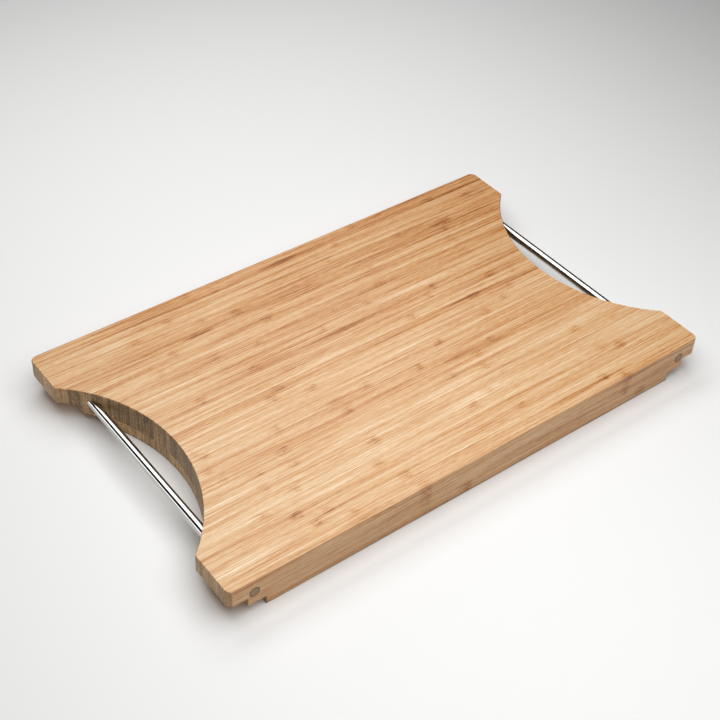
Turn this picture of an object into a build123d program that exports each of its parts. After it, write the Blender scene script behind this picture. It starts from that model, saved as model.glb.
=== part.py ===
from build123d import *
import os

# Chopping board of glued bamboo, with a bow cut out of each short end, a steel carrying rod
# across each bow, and a stepped underside whose ledges seat on the rim of a sink.
# Millimetres. The origin is under the middle of the board, +X runs along it and +Z is up.

# Board: staves on edge above, flat slats below
board_length = 480.0
board_width = 300.0
upper_layer_thickness = 22.0
lower_layer_thickness = 11.0

# Strips across the board: those in the horns run its full length, the others end in the bows
horn_stave_count = 6
bow_stave_count = 28
horn_slat_count = 2
bow_slat_count = 9

# Bow-cut ends: a horn is the wood left on each side of a bow
horn_width = 43.5
finger_gap = 22.5
outer_corner_radius = 6.0
horn_tip_radius = 1.0

# Stepped underside: runs are measured along the board, rises go up from the underside
inner_step_run = 16.0
inner_step_rise = 8.25
outer_step_run = 16.0
outer_step_rise = 8.25

# Small bevels that ease the edges
top_edge_chamfer = 0.5
under_edge_chamfer = 0.5

# Carrying rods
rod_diameter = 8.0
rod_running_clearance = 0.05
rod_end_float = 0.3
rod_end_chamfer = 0.6

# Plugs that close the rod bores, each seated on a shoulder round its bore
plug_shoulder = 0.5
plug_length = 12.0
plug_glue_gap = 0.05
plug_edge_chamfer = 0.3
plug_riser_wall = 1.45

# How far a cutter runs past the wood, and how closely an edge is matched to its level
cut_overrun = 10.0
level_tolerance = 0.001

# Board places that follow from the sizes above
half_length = board_length / 2
half_width = board_width / 2
board_thickness = lower_layer_thickness + upper_layer_thickness
inner_ledge_height = inner_step_rise
outer_ledge_height = inner_ledge_height + outer_step_rise
outer_riser_x = half_length - outer_step_run
inner_riser_x = outer_riser_x - inner_step_run

# Rod and plug places: the rods lie in the middle of the wood above the inner ledges
rod_radius = rod_diameter / 2
bore_radius = rod_radius + rod_running_clearance
plug_radius = rod_radius + plug_shoulder
plug_seat_radius = plug_radius + plug_glue_gap
plug_seat_y = half_width - plug_length
rod_x = outer_riser_x - plug_riser_wall - plug_seat_radius
rod_z = (inner_ledge_height + board_thickness) / 2
rod_length = 2 * (plug_seat_y - rod_end_float)

# Bow places: the bow clears the rod by the finger gap
bow_half_chord = half_width - horn_width
bow_depth = half_length - rod_x + rod_radius + finger_gap
bow_radius = (bow_half_chord**2 + bow_depth**2) / (2 * bow_depth)
bow_centre_x = half_length - bow_depth + bow_radius

ends = {"left": -1, "right": 1}
long_sides = {"front": -1, "rear": 1}


def board_outline():
    """Plan of the board: a rectangle with a bow cut out of each short end and eased corners."""
    bow = Pos(bow_centre_x, 0) * Circle(bow_radius)
    plan = Rectangle(board_length, board_width) - bow - mirror(bow, Plane.YZ)
    tips = plan.vertices().filter_by(lambda corner: abs(corner.Y) < half_width - horn_width / 2)
    plan = fillet(tips, horn_tip_radius)
    corners = plan.vertices().filter_by(lambda corner: abs(corner.Y) > half_width - level_tolerance)
    return fillet(corners, outer_corner_radius)


def ledge_cut(end, riser_x, height):
    """Block that cuts one ledge under one end, from its riser out past the end of the board."""
    length = half_length - riser_x + cut_overrun
    block = Box(length, board_width + 2 * cut_overrun, height + cut_overrun)
    return Pos(end * (riser_x + length / 2), 0, (height - cut_overrun) / 2) * block


def under_edges(board):
    """Every outward edge of the stepped underside: round each level, and up the ends of each riser."""
    chosen = ShapeList()
    riser_above = {0: None, inner_ledge_height: inner_riser_x, outer_ledge_height: outer_riser_x}
    for height, inside_corner_x in riser_above.items():
        level = board.faces().filter_by_position(Axis.Z, height - level_tolerance, height + level_tolerance)
        for edge in level.edges():
            if inside_corner_x is None or abs(abs(edge.center().X) - inside_corner_x) > level_tolerance:
                chosen.append(edge)
    for upright in board.edges().filter_by(Axis.Z):
        for riser_x in (inner_riser_x, outer_riser_x):
            if abs(abs(upright.center().X) - riser_x) < level_tolerance:
                chosen.append(upright)
    return chosen


def bar_along_y(radius, length, x, y, z):
    """Round bar that lies along Y, centred on the given point."""
    return Pos(x, y, z) * Rot(X=90) * Cylinder(radius, length)


def glued_board():
    """The whole board as it leaves the press, the router and the drill, before it is told apart."""
    board = extrude(board_outline(), board_thickness)
    for end in ends.values():
        board -= ledge_cut(end, inner_riser_x, inner_ledge_height)
        board -= ledge_cut(end, outer_riser_x, outer_ledge_height)
    board = chamfer(board.edges().group_by(Axis.Z)[-1], top_edge_chamfer)
    board = chamfer(under_edges(board), under_edge_chamfer)
    for end in ends.values():
        board -= bar_along_y(bore_radius, board_width, end * rod_x, 0, rod_z)
        for side in long_sides.values():
            seat_depth = plug_length + cut_overrun
            seat_middle = side * (plug_seat_y + seat_depth / 2)
            board -= bar_along_y(plug_seat_radius, seat_depth, end * rod_x, seat_middle, rod_z)
    return board


def strips(board, horn_count, bow_count, low_z, high_z):
    """Cuts one layer of the board into strips along X, counted from the front."""
    horn_strips = [horn_width / horn_count] * horn_count
    bow_strips = [2 * bow_half_chord / bow_count] * bow_count
    front_y = -half_width
    for width in horn_strips + bow_strips + horn_strips:
        cutter = Box(board_length + 2 * cut_overrun, width, high_z - low_z)
        yield (board & Pos(0, front_y + width / 2, (low_z + high_z) / 2) * cutter).solid()
        front_y += width


def handle_rod(end):
    """Polished round bar across one bow, with chamfered ends that stop short of the plugs."""
    rod = bar_along_y(rod_radius, rod_length, end * rod_x, 0, rod_z)
    return chamfer(rod.edges().filter_by(GeomType.CIRCLE), rod_end_chamfer)


def bore_plug(end, side):
    """Wooden plug, flush with the long edge and seated on the shoulder of its bore."""
    middle_y = side * (plug_seat_y + plug_length / 2)
    plug = bar_along_y(plug_radius, plug_length, end * rod_x, middle_y, rod_z)
    rims = plug.edges().filter_by(GeomType.CIRCLE).sort_by(Axis.Y)
    outer_rim = rims[-1] if side > 0 else rims[0]
    return chamfer(outer_rim, plug_edge_chamfer)


def write(name, piece):
    """Writes one piece to its own file."""
    export_step(piece, os.path.join("parts", name + ".step"))


os.makedirs("parts", exist_ok=True)
whole_board = glued_board()
upper_layer = lower_layer_thickness, board_thickness
upper_staves = strips(whole_board, horn_stave_count, bow_stave_count, *upper_layer)
lower_layer = 0, lower_layer_thickness
lower_slats = strips(whole_board, horn_slat_count, bow_slat_count, *lower_layer)
for number, stave in enumerate(upper_staves, 1):
    write(f"upper_stave_{number:02d}", stave)
for number, slat in enumerate(lower_slats, 1):
    write(f"lower_slat_{number:02d}", slat)
for end_name, end in ends.items():
    write(f"handle_rod_{end_name}", handle_rod(end))
    for side_name, side in long_sides.items():
        write(f"plug_{side_name}_{end_name}", bore_plug(end, side))
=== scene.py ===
import math
import random

import bpy
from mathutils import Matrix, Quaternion, Vector


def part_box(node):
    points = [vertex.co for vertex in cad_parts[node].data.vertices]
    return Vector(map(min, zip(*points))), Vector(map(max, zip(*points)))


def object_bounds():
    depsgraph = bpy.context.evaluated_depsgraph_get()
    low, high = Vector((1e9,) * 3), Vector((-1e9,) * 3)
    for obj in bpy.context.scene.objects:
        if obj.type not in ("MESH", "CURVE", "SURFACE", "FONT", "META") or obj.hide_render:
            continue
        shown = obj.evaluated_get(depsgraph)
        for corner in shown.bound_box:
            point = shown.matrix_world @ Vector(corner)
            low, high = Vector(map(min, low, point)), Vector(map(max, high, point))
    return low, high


# Chopping board of glued bamboo with two polished steel carrying rods, dressed for a studio picture.
# Places on the board are in millimetres: x from its middle to the right, strips counted from the front.

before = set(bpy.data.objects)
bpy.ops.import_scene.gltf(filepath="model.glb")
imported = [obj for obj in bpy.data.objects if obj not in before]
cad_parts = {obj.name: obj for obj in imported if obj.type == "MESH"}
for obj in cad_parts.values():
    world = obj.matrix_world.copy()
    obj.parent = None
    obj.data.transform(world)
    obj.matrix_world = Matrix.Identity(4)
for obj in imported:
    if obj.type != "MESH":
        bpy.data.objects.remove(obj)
cad_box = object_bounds()

MM = 0.001

# Studio camera, read off the straight edges of the board in the picture
CAMERA_PLACE_MM = (-552.4, -670.7, 802.6)
CAMERA_AIM_MM = (-5.7, 7.0, 16.8)
CAMERA_ROLL_DEGREES = 2.8
CAMERA_LENS_MM = 69.0
SENSOR_WIDTH_MM = 36.0

# Studio lights in metres and watts: the rods mirror the rear softbox and the left card as bright lines
LIGHTS = {
    "key_softbox": {
        "place": (-0.05, -0.37, 0.72), "aim": (-0.05, -0.37, 0), "size": (0.94, 0.95), "power": 7.6,
    },
    "rear_softbox": {
        "place": (0.09, 0.5, 0.72), "aim": (0.09, 0.5, 0), "size": (1.02, 0.5), "power": 4.4,
    },
    "left_card": {
        "place": (-1.2, 0.78, 0.29), "aim": (0, 0, 0.05), "size": (0.9, 0.42), "power": 2.2,
    },
}
ROOM_COLOUR = "#222222"

# Paper floor, in metres
FLOOR_HALF_WIDTH = 4.0
FLOOR_COLOUR = "#EEEEED"
FLOOR_ROUGHNESS = 0.9

# Knuckles that show on the top face: stave number to places along the board
STAVE_KNUCKLES = {
    1: (-60, 155), 2: (-120, 138), 3: (-148, -66), 4: (-136, 58), 5: (-158, 178),
    6: (-75, 162), 7: (-178, 26), 8: (-144, 48), 9: (-64, 199), 10: (-162, 160),
    11: (-128, 65), 12: (-157, 34), 13: (-128, 70), 14: (-60, 92), 15: (-187, 18),
    16: (-120, -31), 17: (-182, 52), 18: (-188, 112), 19: (-69, 138), 20: (-101, 152),
    21: (-92, 118), 22: (54, 170), 23: (-72, 148), 24: (-150, 84), 25: (-94, 95),
    26: (-20, 128), 27: (-112, 33), 28: (-73, 152), 29: (-114, 60), 30: (-160, 156),
    31: (-50, 154), 32: (-139, 66), 33: (-100, 158), 34: (-67, 168), 35: (-98, 115),
    36: (-158, 42), 37: (-122, 211), 38: (-147, 60), 39: (-67, 175), 40: (-92, 88),
}

# Knuckles of the slats, which show on the edges: slat number to places along the board
SLAT_KNUCKLES = {
    1: (-18, 176), 2: (-140, 92), 3: (-60, 171), 4: (24,), 5: (-120, 130),
    6: (-30,), 7: (-170, 66), 8: (110,), 9: (-84, 150), 10: (12,),
    11: (-152, 98), 12: (-40, 182), 13: (-146, 70),
}

# Long brown streaks: stave number to where each one starts and ends along the board
STAVE_STREAKS = {
    1: (-150, -60), 2: (40, 190), 14: (20, 112), 16: (-90, -14), 21: (70, 188),
    25: (-60, 96), 33: (-130, -84), 34: (140, 186), 39: (-30, 60),
}

# Staves that stand out as darker or paler than their neighbours, and how many make up each horn
DARK_STAVES = (1, 2, 14, 21, 25, 31, 33, 34, 39, 40)
PALE_STAVES = (6, 7, 8, 18, 20, 22, 30, 32, 36, 37)
HORN_STAVE_COUNT = 6

# Bamboo shades, from the brown heart of a knuckle to the palest fibre
BAMBOO_SHADES = {
    0.0: "#8A4F22", 0.2: "#B87A43", 0.4: "#CD9863", 0.6: "#D7AE80", 0.8: "#E2C199", 1.0: "#EFDABC",
}
SAWN_END_SHADES = {0.0: "#5F4529", 0.5: "#A38054", 1.0: "#D6AE7C"}
MIDDLE_SHADE = 0.58

# Tones are steps along those shades, browner under 0 and paler over it; a pair is the limits of a random draw
TONE_SEED = 7
DARK_STAVE_TONES = (-0.1, -0.06)
PALE_STAVE_TONES = (0.05, 0.09)
PLAIN_STAVE_TONES = (-0.06, 0.06)
SLAT_TONES = (-0.15, -0.08)
BOW_END_TONES = (-0.3, 0.05)
HORN_END_TONES = (0.0, 0.2)
SLAT_END_TONES = (0.05, 0.25)
# Painted shade: staves grow browner from the front to the rear
FRONT_STAVE_PAINTED_LIGHT_TONE = 0.03
REAR_STAVE_PAINTED_SHADE_TONE = -0.07
# Painted shade: the rear strips grow browner toward the right end
RIGHT_REAR_PAINTED_SHADE_TONE = -0.19
FRONT_KNUCKLE_TONE = -0.54
REAR_KNUCKLE_TONE = -0.28
STAVE_LEAN_TONE = 0.07
SLAT_LEAN_TONE = 0.05
SEAM_TONE = -0.2
STREAK_TONE = -0.3
BURNT_TONE = -0.3
UNBURNT_TONE = 0.1
# Painted contact shadow at the foot of faces that stand on the table
FOOT_PAINTED_SHADOW_TONE = -0.35

# Sizes along, across and up the board of what the fibres draw: broad bands, dark and pale threads, single
# fibres and short flecks (both drawn wider than real ones, which would be too fine to show), the dashes
# inside a knuckle, the ragged ends of a knuckle, and the upright burns that a router leaves on sawn ends
GRAIN_SIZES_MM = {
    "bands": (90, 3.0, 3.0),
    "dark_threads": (130, 0.8, 0.8),
    "pale_threads": (110, 0.7, 0.7),
    "fibres": (80, 0.8, 0.8),
    "flecks": (7, 0.6, 0.6),
    "dashes": (4, 0.7, 0.7),
    "ragged_ends": (7, 2.2, 2.2),
    "burns": (40, 1.6, 40),
}

# Noise: the limits that most of it lies between, its detail, and how far strips sit apart in it, in metres
NOISE_LOW = 0.3
NOISE_HIGH = 0.7
NOISE_DETAIL = 2.0
NOISE_OFFSET = 5.0

# What a noise is turned into: noise from, noise to, and what it gives at each of them
GRAIN_TONES = {
    "bands": (NOISE_LOW, NOISE_HIGH, -0.11, 0.11),
    "dark_threads": (0.32, 0.45, -0.14, 0.0),
    "pale_threads": (0.55, 0.68, 0.0, 0.12),
    "fibres": (NOISE_LOW, NOISE_HIGH, -0.25, 0.25),
    "flecks": (NOISE_LOW, NOISE_HIGH, -0.13, 0.13),
}
DASH_STRENGTHS = (0.42, 0.6, 0.2, 1.0)
OILED_ROUGHNESS = (NOISE_LOW, NOISE_HIGH, 0.42, 0.32)
STEEL_ROUGHNESS = (NOISE_LOW, NOISE_HIGH, 0.03, 0.07)
BURN_NOISE_LIMITS = (0.35, 0.6)

# Knuckles: limits of their strength, how far they fade to each side, and how far their ends wander
KNUCKLE_STRENGTHS = (0.5, 1.0)
KNUCKLE_FADE_BEFORE_MM = 9.0
KNUCKLE_FADE_AFTER_MM = 6.0
KNUCKLE_WANDER = 9.0 * MM

# Streaks: where along one it is thickest, where across its stave it may lie, and when it is fully brown
STREAK_HALF_WIDTH = 3.4 * MM
STREAK_THICKEST_SHARE = 0.35
STREAK_MIDDLE_SHARES = (0.3, 0.7)
STREAK_FULL_AT = 0.8

# Glue seams, and the height of a painted contact shadow at the foot of the faces that stand on the table
SEAM_WIDTH = 0.5 * MM
FOOT_PAINTED_SHADOW_HEIGHT = 2.5 * MM

# Sawn look: how far a face turns from not sawn to sawn, and the share of the darker sawn colour that each
# kind of
# # face takes; on the ends it is sawn, on the long edges and at the foot it is painted shade
SAWN_FACING_LIMITS = (0.35, 0.6)
END_SAWN_SHARE = 1.0
EDGE_PAINTED_SHADE_SHARE = 0.1
FOOT_PAINTED_SHADOW_SHARE = 1.0
SAWN_ROUGHNESS_RISE = 0.15

# Relief of each surface
BAMBOO_BUMP = {"Strength": 0.35, "Distance": 0.12 * MM}
DOWEL_BUMP = {"Strength": 0.3, "Distance": 0.1 * MM}
STEEL_BUMP = {"Strength": 0.08, "Distance": 0.02 * MM}

# Dowels, seen on their ends: pores that run across the board, and a dark rim of glue
DOWEL_PORE_SIZES_MM = (0.8, 12, 0.8)
DOWEL_RIM_FROM = 3.7 * MM
DOWEL_RIM_TO = 4.2 * MM
DOWEL_RIM_TONE = -0.8
DOWEL_SHADES = {0.0: "#4A3522", 0.25: "#866A4E", 0.8: "#A88B6B"}
DOWEL_ROUGHNESS = 0.6

# Steel: draw lines along the rods, which run across the board
STEEL_LINE_SIZES_MM = (0.25, 40, 0.25)
STEEL_SHADES = {NOISE_LOW: "#BAB9B6", NOISE_HIGH: "#CFCECB"}


def linear(code):
    """Turns an sRGB hex colour into the linear RGBA that the shaders take."""
    parts = [int(code[start:start + 2], 16) / 255 for start in (1, 3, 5)]
    return [part / 12.92 if part <= 0.04045 else ((part + 0.055) / 1.055) ** 2.4 for part in parts] + [1.0]


def add(tree, kind, inputs=(), stops=None, **settings):
    """Adds one node with its settings and ramp stops, and a value or link per input, by order or name."""
    made = tree.nodes.new(kind)
    for name, value in settings.items():
        setattr(made, name, value)
    given = inputs.items() if isinstance(inputs, dict) else enumerate(inputs)
    for socket, value in given:
        if isinstance(value, bpy.types.NodeSocket):
            tree.links.new(value, made.inputs[socket])
        else:
            made.inputs[socket].default_value = value
    if stops:
        elements = made.color_ramp.elements
        while len(elements) < len(stops):
            elements.new(1.0)
        for element, (position, colour) in zip(elements, stops):
            element.position = position
            element.color = colour
    return made


def new_material(name):
    """Starts a material and gives back it, its node tree and its shader."""
    material = bpy.data.materials.new(name)
    material.use_nodes = True
    tree = material.node_tree
    return material, tree, tree.nodes["Principled BSDF"]


def dress(node_name, material):
    """Puts one material on the whole of a CAD piece."""
    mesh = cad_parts[node_name].data
    mesh.materials.clear()
    mesh.materials.append(material)


def between(first, last, share):
    """The value that lies the given share of the way from the first to the last."""
    return first + share * (last - first)


def per_metre(sizes_mm):
    """How often a pattern of the given sizes fits into a metre along each axis."""
    return [1 / (size * MM) for size in sizes_mm]


def shade_stops(shades):
    """Ramp stops from a table of positions and sRGB hex colours."""
    return [(position, linear(code)) for position, code in shades.items()]


def height_stops(heights, low, high):
    """Ramp stops, as greys, for heights at places between the two ends of a strip."""
    return [((x - low) / (high - low), (height, height, height, 1.0)) for x, height in heights]


def knuckle_heights(places, low_x, draw):
    """Heights along a strip: each knuckle comes up slowly, fades faster, and has a strength of its own."""
    heights = [(low_x, 0)]
    for place in sorted(places):
        heights.append(((place - KNUCKLE_FADE_BEFORE_MM) * MM, 0))
        heights.append((place * MM, draw.uniform(*KNUCKLE_STRENGTHS)))
        heights.append(((place + KNUCKLE_FADE_AFTER_MM) * MM, 0))
    return heights


def strip_grain(tree, place, draw):
    """The noises that a strip's fibres draw, shifted so that no two strips look alike."""
    offset = [draw.uniform(-NOISE_OFFSET, NOISE_OFFSET) for _ in range(3)]
    own_place = add(tree, "ShaderNodeVectorMath", [place.outputs["Object"], offset], operation="ADD")
    grain = {}
    for pattern, sizes_mm in GRAIN_SIZES_MM.items():
        stretched = add(tree, "ShaderNodeVectorMath", [own_place.outputs[0], per_metre(sizes_mm)],
                        operation="MULTIPLY")
        noise = add(tree, "ShaderNodeTexNoise",
                    {"Vector": stretched.outputs[0], "Scale": 1.0, "Detail": NOISE_DETAIL})
        grain[pattern] = noise.outputs["Fac"]
    return grain


def sawn_and_painted_shade_share(tree, place, axes):
    """How much of the darker sawn colour a face takes: fully on the sawn ends of a strip, and as painted
    shade at its foot and a little on its long edges.
    """
    facing = add(tree, "ShaderNodeSeparateXYZ", [place.outputs["Normal"]])
    edge_and_foot_shade_share = add(tree, "ShaderNodeMapRange",
                     [axes.outputs["Z"], 0.0, FOOT_PAINTED_SHADOW_HEIGHT, FOOT_PAINTED_SHADOW_SHARE, EDGE_PAINTED_SHADE_SHARE])
    shares = []
    for axis, share in (("X", END_SAWN_SHARE), ("Y", edge_and_foot_shade_share.outputs[0])):
        turned = add(tree, "ShaderNodeMath", [facing.outputs[axis]], operation="ABSOLUTE")
        faced = add(tree, "ShaderNodeMapRange", [turned.outputs[0], *SAWN_FACING_LIMITS, 0.0, share],
                    interpolation_type="SMOOTHSTEP")
        shares.append(faced.outputs[0])
    return add(tree, "ShaderNodeMath", shares, operation="MAXIMUM").outputs[0]


def streak_spindle(tree, along, axes, low, high, streak, draw):
    """A long streak, pointed at both ends: 1 down the middle where it is thickest, under 0 outside it."""
    start, end = (x * MM for x in streak)
    heights = [(start, 0), (between(start, end, STREAK_THICKEST_SHARE), 1), (end, 0)]
    swell = add(tree, "ShaderNodeValToRGB", [along], height_stops(heights, low.x, high.x))
    middle_y = between(low.y, high.y, draw.uniform(*STREAK_MIDDLE_SHARES))
    aside = add(tree, "ShaderNodeMath", [axes.outputs["Y"], middle_y], operation="SUBTRACT")
    away = add(tree, "ShaderNodeMath", [aside.outputs[0]], operation="ABSOLUTE")
    spindle = add(tree, "ShaderNodeMath", [away.outputs[0], -1 / STREAK_HALF_WIDTH, swell.outputs[0]],
                  operation="MULTIPLY_ADD")
    return spindle.outputs[0]


def add_up(tree, start, rows):
    """Adds to a shade, row by row: what drives the row, its two limits, and the tone that it adds at each."""
    shade = start
    for row in rows:
        tone = add(tree, "ShaderNodeMapRange", row)
        shade = add(tree, "ShaderNodeMath", [tone.outputs[0], shade], operation="ADD").outputs[0]
    return shade


def oiled_bamboo(name, low, high, tone, end_tone, knuckles, seams, lean, streak, seed):
    """Pressed bamboo, sanded and oiled: a honey strip of long pale and brown fibres, with brown knuckles.

    The fibres run along the board. They crowd together, and are browner, toward one side of the strip.
    Sawn ends drink more oil and are darker, and a thin brown seam of glue shows where strips meet. Painted
    shade darkens the rear strips toward the right, the long edges a little, and the foot where it stands.
    """
    material, tree, shader = new_material(name)
    draw = random.Random(seed)
    place = add(tree, "ShaderNodeTexCoord")
    axes = add(tree, "ShaderNodeSeparateXYZ", [place.outputs["Object"]])
    grain = strip_grain(tree, place, draw)

    # Place along the strip, from 0 to 1, that wanders so that knuckles and streaks end raggedly
    wander = add(tree, "ShaderNodeMath", [grain["ragged_ends"], KNUCKLE_WANDER, -KNUCKLE_WANDER / 2],
                 operation="MULTIPLY_ADD")
    wandered = add(tree, "ShaderNodeMath", [axes.outputs["X"], wander.outputs[0]], operation="ADD")
    along = add(tree, "ShaderNodeMapRange", [wandered.outputs[0], low.x, high.x]).outputs[0]

    # Knuckles, broken into dashes and fainter toward the rear
    heights = knuckle_heights(knuckles, low.x, draw)
    rise = add(tree, "ShaderNodeValToRGB", [along], height_stops(heights, low.x, high.x))
    dashes = add(tree, "ShaderNodeMapRange", [grain["dashes"], *DASH_STRENGTHS])
    knuckle = add(tree, "ShaderNodeMath", [rise.outputs[0], dashes.outputs[0]], operation="MULTIPLY")
    rear_share = (low.y - cad_box[0][1]) / (cad_box[1][1] - cad_box[0][1])
    knuckle_tone = between(FRONT_KNUCKLE_TONE, REAR_KNUCKLE_TONE, rear_share)

    # Colour: one number runs from knuckle brown to pale straw, and everything above adds to it
    lean_axis, lean_depth = lean
    lean_tone = draw.choice((-lean_depth, lean_depth))
    lean_low, lean_high = (getattr(corner, lean_axis.lower()) for corner in (low, high))
    rows = [(grain[pattern], *tones) for pattern, tones in GRAIN_TONES.items()]
    rows.append((axes.outputs[lean_axis], lean_low, lean_high, -lean_tone, lean_tone))
    rows.append((knuckle.outputs[0], 0.0, 1.0, 0.0, knuckle_tone))
    # Painted shade: rear strips grow browner toward the right end
    rows.append((axes.outputs["X"], low.x, high.x, 0.0, rear_share * RIGHT_REAR_PAINTED_SHADE_TONE))
    for axis in seams:
        edge = getattr(high, axis.lower())
        rows.append((axes.outputs[axis], edge - SEAM_WIDTH, edge, 0.0, SEAM_TONE))
    if streak:
        spindle = streak_spindle(tree, along, axes, low, high, streak, draw)
        rows.append((spindle, 0.0, STREAK_FULL_AT, 0.0, STREAK_TONE))
    shade = add_up(tree, MIDDLE_SHADE + tone, rows)
    # Sawn faces: router burns, and a painted contact shadow at the foot of faces that stand on the table
    sawn_shade_with_foot_shadow = add_up(tree, shade, [
        (grain["burns"], *BURN_NOISE_LIMITS, end_tone + BURNT_TONE, end_tone + UNBURNT_TONE),
        (axes.outputs["Z"], 0.0, FOOT_PAINTED_SHADOW_HEIGHT, FOOT_PAINTED_SHADOW_TONE, 0.0),
    ])
    # Share of the sawn colour: the sawn ends, and as painted shade the foot and a little of the long edges
    sawn_and_shaded = sawn_and_painted_shade_share(tree, place, axes)
    oiled_colour = add(tree, "ShaderNodeValToRGB", [shade], shade_stops(BAMBOO_SHADES)).outputs[0]
    sawn_colour_with_painted_shade = add(tree, "ShaderNodeValToRGB", [sawn_shade_with_foot_shadow], shade_stops(SAWN_END_SHADES)).outputs[0]
    colour = add(tree, "ShaderNodeMix", {"Factor": sawn_and_shaded, "A": oiled_colour, "B": sawn_colour_with_painted_shade},
                 data_type="RGBA")

    # Surface: the fibres stand a little proud and shine, and sawn faces are duller
    gloss = add(tree, "ShaderNodeMapRange", [grain["fibres"], *OILED_ROUGHNESS])
    roughness = add(tree, "ShaderNodeMath", [sawn_and_shaded, SAWN_ROUGHNESS_RISE, gloss.outputs[0]],
                    operation="MULTIPLY_ADD")
    relief = add(tree, "ShaderNodeMath", [grain["dark_threads"], grain["fibres"]], operation="ADD")
    bump = add(tree, "ShaderNodeBump", {"Height": relief.outputs[0], **BAMBOO_BUMP})
    tree.links.new(colour.outputs["Result"], shader.inputs["Base Color"])
    tree.links.new(roughness.outputs[0], shader.inputs["Roughness"])
    tree.links.new(bump.outputs[0], shader.inputs["Normal"])
    return material


def dowel_end_grain(name, centre):
    """Bamboo dowel, sawn and sanded flush: grey-brown end grain full of dark pores, with a dark glue rim."""
    material, tree, shader = new_material(name)
    place = add(tree, "ShaderNodeTexCoord").outputs["Object"]

    # Distance from the dowel's axis, which runs along Y
    from_centre = add(tree, "ShaderNodeVectorMath", [place, centre], operation="SUBTRACT")
    from_axis = add(tree, "ShaderNodeVectorMath", [from_centre.outputs[0], (1, 0, 1)], operation="MULTIPLY")
    radius = add(tree, "ShaderNodeVectorMath", [from_axis.outputs[0]], operation="LENGTH")

    # Pores, and the rim of glue that darkens them
    stretched = add(tree, "ShaderNodeVectorMath", [place, per_metre(DOWEL_PORE_SIZES_MM)],
                    operation="MULTIPLY")
    cells = add(tree, "ShaderNodeTexVoronoi", {"Vector": stretched.outputs[0], "Scale": 1.0})
    pores = cells.outputs["Distance"]
    rim = add(tree, "ShaderNodeMapRange", [radius.outputs["Value"], DOWEL_RIM_FROM, DOWEL_RIM_TO])
    shade = add(tree, "ShaderNodeMath", [rim.outputs[0], DOWEL_RIM_TONE, pores], operation="MULTIPLY_ADD")
    colour = add(tree, "ShaderNodeValToRGB", [shade.outputs[0]], shade_stops(DOWEL_SHADES))
    bump = add(tree, "ShaderNodeBump", {"Height": pores, **DOWEL_BUMP})
    tree.links.new(colour.outputs[0], shader.inputs["Base Color"])
    tree.links.new(bump.outputs[0], shader.inputs["Normal"])
    shader.inputs["Roughness"].default_value = DOWEL_ROUGHNESS
    return material


def polished_steel(name):
    """Stainless steel bar, drawn and polished: near mirror, with faint draw lines along its length."""
    material, tree, shader = new_material(name)
    place = add(tree, "ShaderNodeTexCoord").outputs["Object"]
    stretched = add(tree, "ShaderNodeVectorMath", [place, per_metre(STEEL_LINE_SIZES_MM)],
                    operation="MULTIPLY")
    noise = add(tree, "ShaderNodeTexNoise",
                {"Vector": stretched.outputs[0], "Scale": 1.0, "Detail": NOISE_DETAIL})
    lines = noise.outputs["Fac"]
    colour = add(tree, "ShaderNodeValToRGB", [lines], shade_stops(STEEL_SHADES))
    gloss = add(tree, "ShaderNodeMapRange", [lines, *STEEL_ROUGHNESS])
    bump = add(tree, "ShaderNodeBump", {"Height": lines, **STEEL_BUMP})
    tree.links.new(colour.outputs[0], shader.inputs["Base Color"])
    tree.links.new(gloss.outputs[0], shader.inputs["Roughness"])
    tree.links.new(bump.outputs[0], shader.inputs["Normal"])
    shader.inputs["Metallic"].default_value = 1.0
    return material


def studio_floor():
    """Wide sheet of matt white paper under the board."""
    half = FLOOR_HALF_WIDTH
    corners = [(-half, -half, 0), (half, -half, 0), (half, half, 0), (-half, half, 0)]
    mesh = bpy.data.meshes.new("paper_floor")
    mesh.from_pydata(corners, [], [(0, 1, 2, 3)])
    floor = bpy.data.objects.new("paper_floor", mesh)
    bpy.context.scene.collection.objects.link(floor)
    floor.location.z = cad_box[0][2]
    material, _, shader = new_material("matt_white_paper")
    shader.inputs["Base Color"].default_value = linear(FLOOR_COLOUR)
    shader.inputs["Roughness"].default_value = FLOOR_ROUGHNESS
    mesh.materials.append(material)


def softbox(name, place, aim, size, power):
    """Rectangular studio light that the camera doesn't see."""
    light = bpy.data.lights.new(name, "AREA")
    light.shape = "RECTANGLE"
    light.size, light.size_y = size
    light.energy = power
    box = bpy.data.objects.new(name, light)
    box.location = place
    box.rotation_euler = (Vector(aim) - Vector(place)).to_track_quat("-Z", "Y").to_euler()
    box.visible_camera = False
    bpy.context.scene.collection.objects.link(box)


def studio_light():
    """Softboxes in a dark room."""
    for name, light in LIGHTS.items():
        softbox(name, **light)
    world = bpy.data.worlds.new("dark_room")
    world.use_nodes = True
    world.node_tree.nodes["Background"].inputs["Color"].default_value = linear(ROOM_COLOUR)
    bpy.context.scene.world = world
    bpy.context.scene.view_settings.view_transform = "Standard"


def studio_camera():
    """Camera at the picture's viewing angle."""
    camera = bpy.data.cameras.new("studio_camera")
    camera.sensor_width = SENSOR_WIDTH_MM
    camera.lens = CAMERA_LENS_MM
    stand = bpy.data.objects.new("studio_camera", camera)
    stand.location = Vector(CAMERA_PLACE_MM) * MM
    aim = (Vector(CAMERA_AIM_MM) - Vector(CAMERA_PLACE_MM)).to_track_quat("-Z", "Y")
    stand.rotation_mode = "QUATERNION"
    stand.rotation_quaternion = aim @ Quaternion((0, 0, 1), math.radians(CAMERA_ROLL_DEGREES))
    bpy.context.scene.collection.objects.link(stand)
    bpy.context.scene.camera = stand


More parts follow.
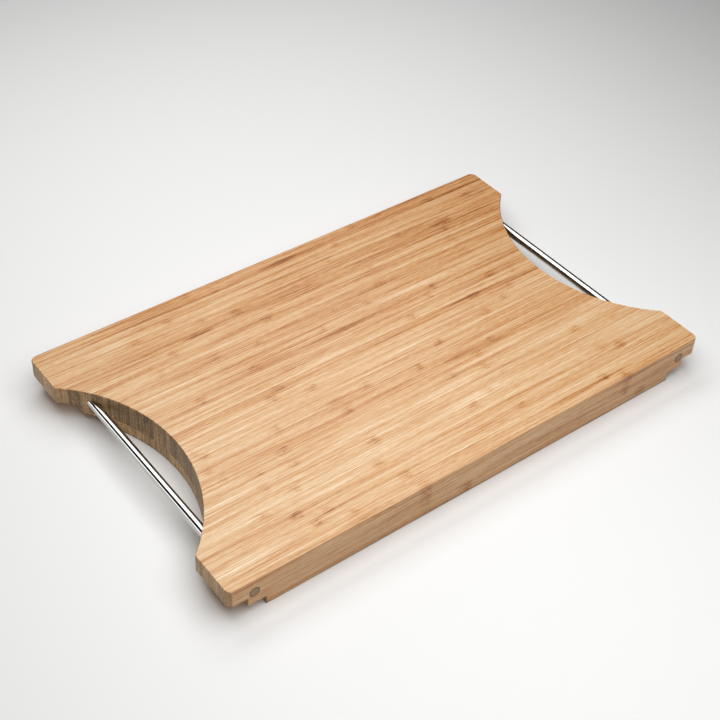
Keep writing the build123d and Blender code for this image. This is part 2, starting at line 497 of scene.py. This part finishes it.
def stave_tone(number, draw):
    """How much paler or browner a stave is than the middle shade: the rear ones are a little browner, as
    painted shade.
    """
    rear_share = (number - 1) / (len(STAVE_KNUCKLES) - 1)
    tone = between(FRONT_STAVE_PAINTED_LIGHT_TONE, REAR_STAVE_PAINTED_SHADE_TONE, rear_share)
    if number in DARK_STAVES:
        return tone + draw.uniform(*DARK_STAVE_TONES)
    if number in PALE_STAVES:
        return tone + draw.uniform(*PALE_STAVE_TONES)
    return tone + draw.uniform(*PLAIN_STAVE_TONES)


def end_grain_tone(number, draw):
    """How dark a stave's sawn ends are: the router leaves those in the bows browner than in the horns."""
    if HORN_STAVE_COUNT < number <= len(STAVE_KNUCKLES) - HORN_STAVE_COUNT:
        return draw.uniform(*BOW_END_TONES)
    return draw.uniform(*HORN_END_TONES)


# Each piece gets a material of its own; a strip has a seam toward the next one behind it and the layer above
draw_tones = random.Random(TONE_SEED)
for number, knuckles in STAVE_KNUCKLES.items():
    stave = f"upper_stave_{number:02d}"
    low, high = map(Vector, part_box(stave))
    tone = stave_tone(number, draw_tones)
    end_tone = end_grain_tone(number, draw_tones)
    seams = ["Y"] if number < len(STAVE_KNUCKLES) else []
    lean = ("Y", STAVE_LEAN_TONE)
    streak = STAVE_STREAKS.get(number)
    dress(stave, oiled_bamboo(
        f"oiled_bamboo_{stave}", low, high, tone, end_tone, knuckles, seams, lean, streak, number))
for number, knuckles in SLAT_KNUCKLES.items():
    slat = f"lower_slat_{number:02d}"
    low, high = map(Vector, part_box(slat))
    tone = draw_tones.uniform(*SLAT_TONES)
    end_tone = draw_tones.uniform(*SLAT_END_TONES)
    seams = ["Y", "Z"] if number < len(SLAT_KNUCKLES) else ["Z"]
    lean = ("Z", SLAT_LEAN_TONE)
    seed = len(STAVE_KNUCKLES) + number
    dress(slat, oiled_bamboo(
        f"oiled_bamboo_{slat}", low, high, tone, end_tone, knuckles, seams, lean, None, seed))
for end in ("left", "right"):
    rod = f"handle_rod_{end}"
    dress(rod, polished_steel(f"polished_steel_{rod}"))
    for side in ("front", "rear"):
        plug = f"plug_{side}_{end}"
        low, high = map(Vector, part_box(plug))
        dress(plug, dowel_end_grain(f"dowel_end_grain_{plug}", (low + high) / 2))

studio_floor()
studio_light()
studio_camera()
